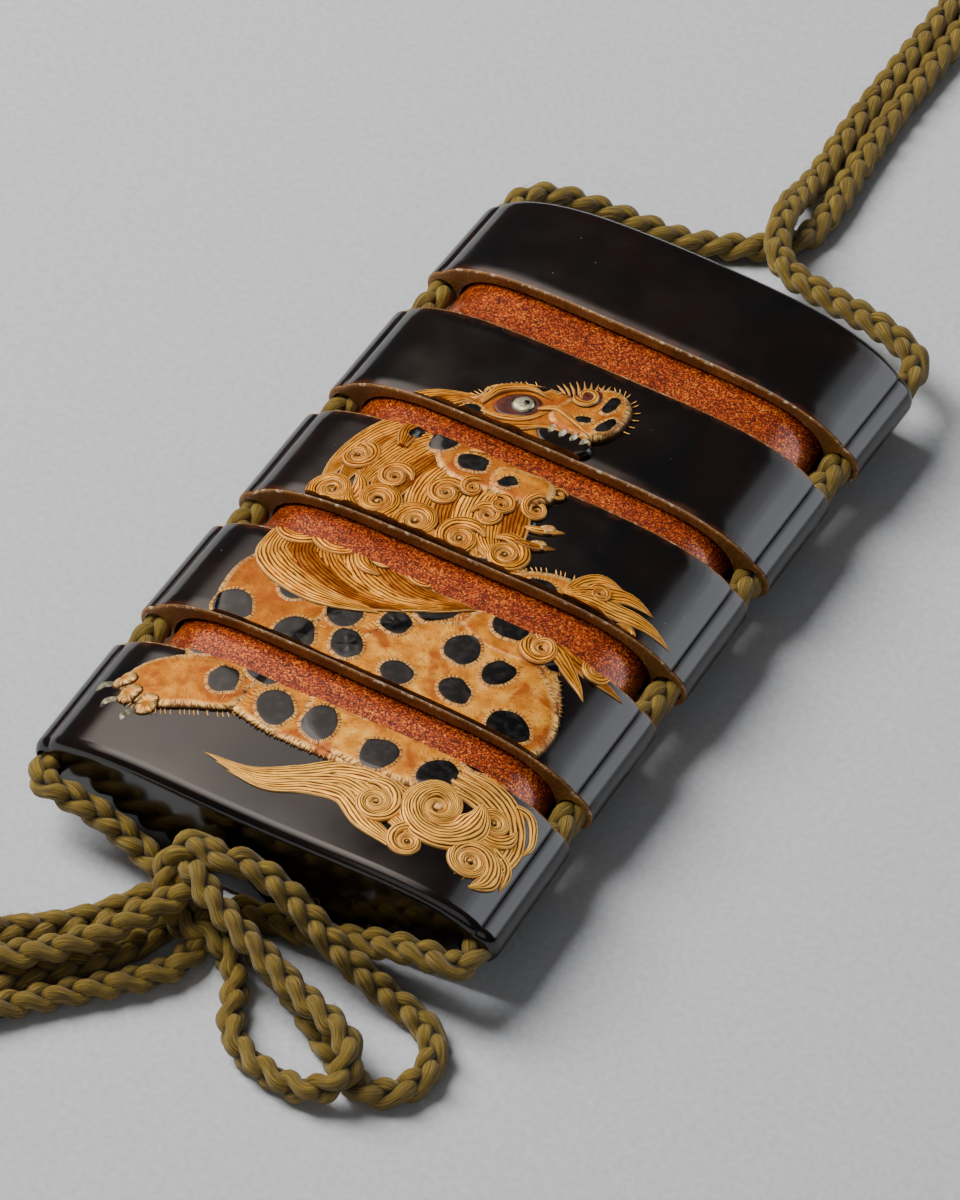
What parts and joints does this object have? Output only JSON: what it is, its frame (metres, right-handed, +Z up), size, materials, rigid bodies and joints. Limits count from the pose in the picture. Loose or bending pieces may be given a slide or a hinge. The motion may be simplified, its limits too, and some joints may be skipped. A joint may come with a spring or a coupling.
{
  "type": "inro case",
  "caption": "Flat lacquered inro: stacked cases and a lid drawn apart on a braided silk cord tied in a bow, with a raised lion-dog on the front.",
  "frame": {"origin": "middle of the footprint of the drawn-out case without its free cords, on the surface that it lies on", "axes": "+X across the width, +Y along the stack towards the lid, +Z up, out of the front with the raised figure"},
  "size_m": [0.0584, 0.2102, 0.0144],
  "materials": {
    "black_lacquer": "thin wood under polished black lacquer, high gloss, brown-gold and worn at the rims",
    "gold_relief": "built-up lacquer dusted with gold powder, satin, with dark red-brown and black lines",
    "gold_flake_lacquer": "orange-brown lacquer over sprinkled gold flakes, glossy, on the risers and inside",
    "silk_cord": "olive-gold braided silk, soft sheen, slightly fuzzy"
  },
  "bodies": {
    "root": {"lid": "black_lacquer", "upper_case": "black_lacquer", "second_case": "black_lacquer", "third_case": "black_lacquer", "bottom_case": "black_lacquer", "left_channel_cord": "silk_cord", "right_channel_cord": "silk_cord", "bow_left_lead": "silk_cord", "bow_right_lead": "silk_cord", "bow_loop_large": "silk_cord", "bow_loop_small": "silk_cord", "bow_loop_outer": "silk_cord", "bow_loop_inner": "silk_cord", "left_top_cord": "silk_cord", "right_top_cord": "silk_cord", "bow_knot": "silk_cord", "end_knot": "silk_cord"}
  },
  "joints": []
}
